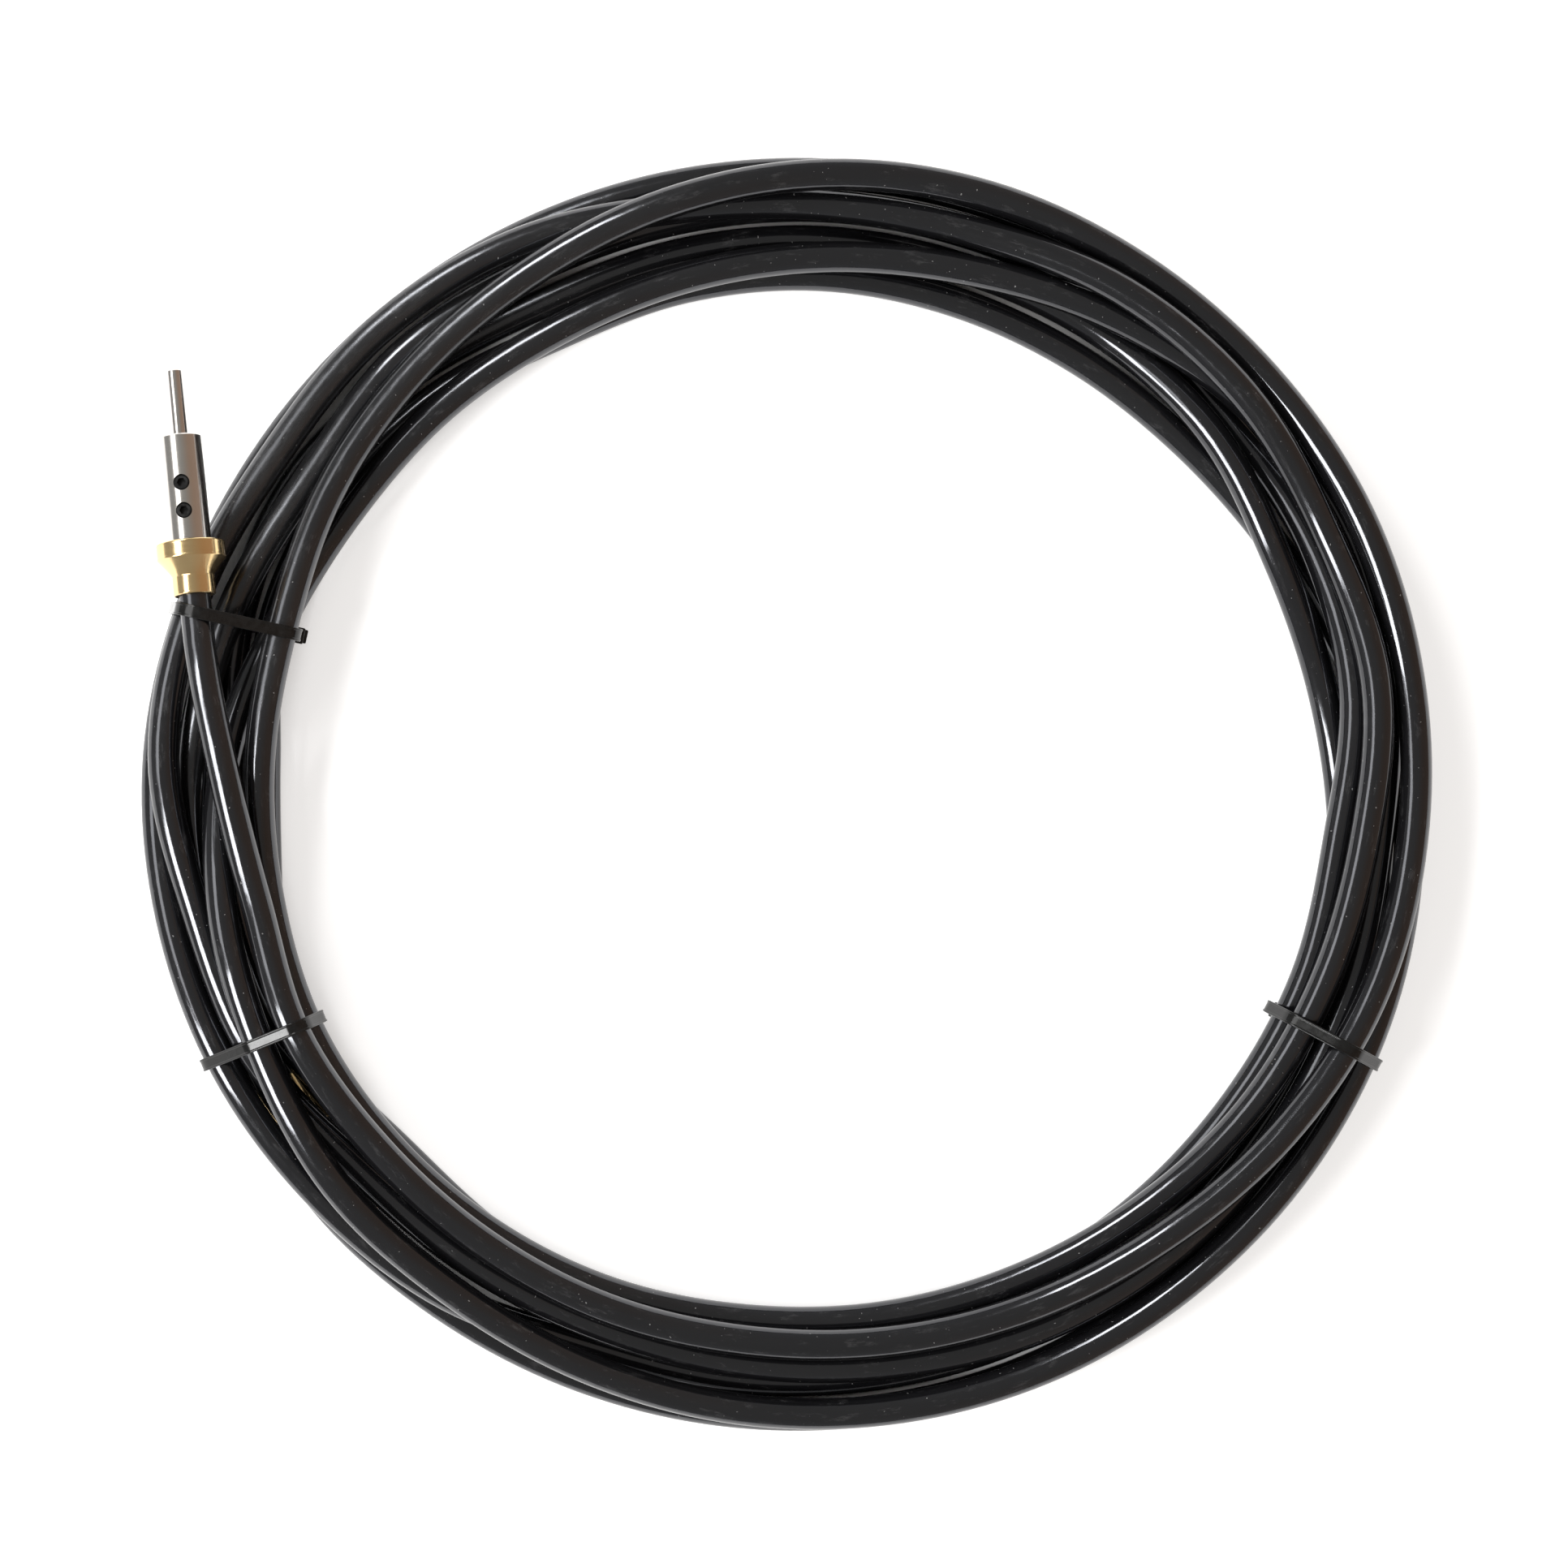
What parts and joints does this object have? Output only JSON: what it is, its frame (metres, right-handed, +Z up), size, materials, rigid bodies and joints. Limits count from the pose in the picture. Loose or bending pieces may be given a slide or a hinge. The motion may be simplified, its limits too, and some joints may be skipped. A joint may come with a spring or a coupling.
{
  "type": "flexible drive shaft",
  "caption": "Coiled flexible rotary drive shaft: a wire core turns in a black casing, with a brass ferrule, clamped coupler and drive pin on its end, held by cable ties.",
  "frame": {"origin": "centre of the tied coil, on the surface that it lies on", "axes": "+Z up out of the coil, along its axis; +Y is the way the drive end points, nearly; +X away from the drive end, across the coil"},
  "size_m": [0.4953, 0.4918, 0.0579],
  "materials": {
    "casing_plastic": "glossy black extruded plastic",
    "core_wire": "twisted steel wire, lightly oiled",
    "brass": "turned",
    "washer_steel": "satin",
    "coupler_steel": "turned stainless",
    "pin_steel": "ground",
    "black_steel": "black oxide",
    "tie_nylon": "black nylon"
  },
  "bodies": {
    "coil": {"casing": "casing_plastic", "core": "core_wire", "drive_ferrule": "brass", "drive_thrust_washer": "washer_steel", "tool_ferrule": "brass", "tool_thrust_washer": "washer_steel", "tie_by_drive_end": "tie_nylon", "tie_left": "tie_nylon", "tie_right": "tie_nylon"},
    "drive_spindle": {"drive_core_end": "core_wire", "drive_coupler": "coupler_steel", "drive_pin": "pin_steel", "drive_core_screw": "black_steel", "drive_pin_screw": "black_steel"},
    "tool_spindle": {"tool_core_end": "core_wire", "tool_coupler": "coupler_steel", "tool_stud": "pin_steel", "tool_core_screw": "black_steel", "tool_stud_screw": "black_steel"}
  },
  "joints": [
    {"name": "drive_spin", "type": "hinge", "parent": "coil", "child": "drive_spindle", "pos_m": [-0.22202, 0.07528, 0.046], "axis": [-0.1042, 0.9915, -0.0785], "continuous": true},
    {"name": "tool_spin", "type": "hinge", "parent": "coil", "child": "tool_spindle", "pos_m": [-0.19105, -0.10749, 0.0081], "axis": [0.5072, -0.8618, 0], "continuous": true}
  ],
  "couplings": [
    {"joint": "tool_spin", "follows": "drive_spin", "ratio": -1}
  ]
}
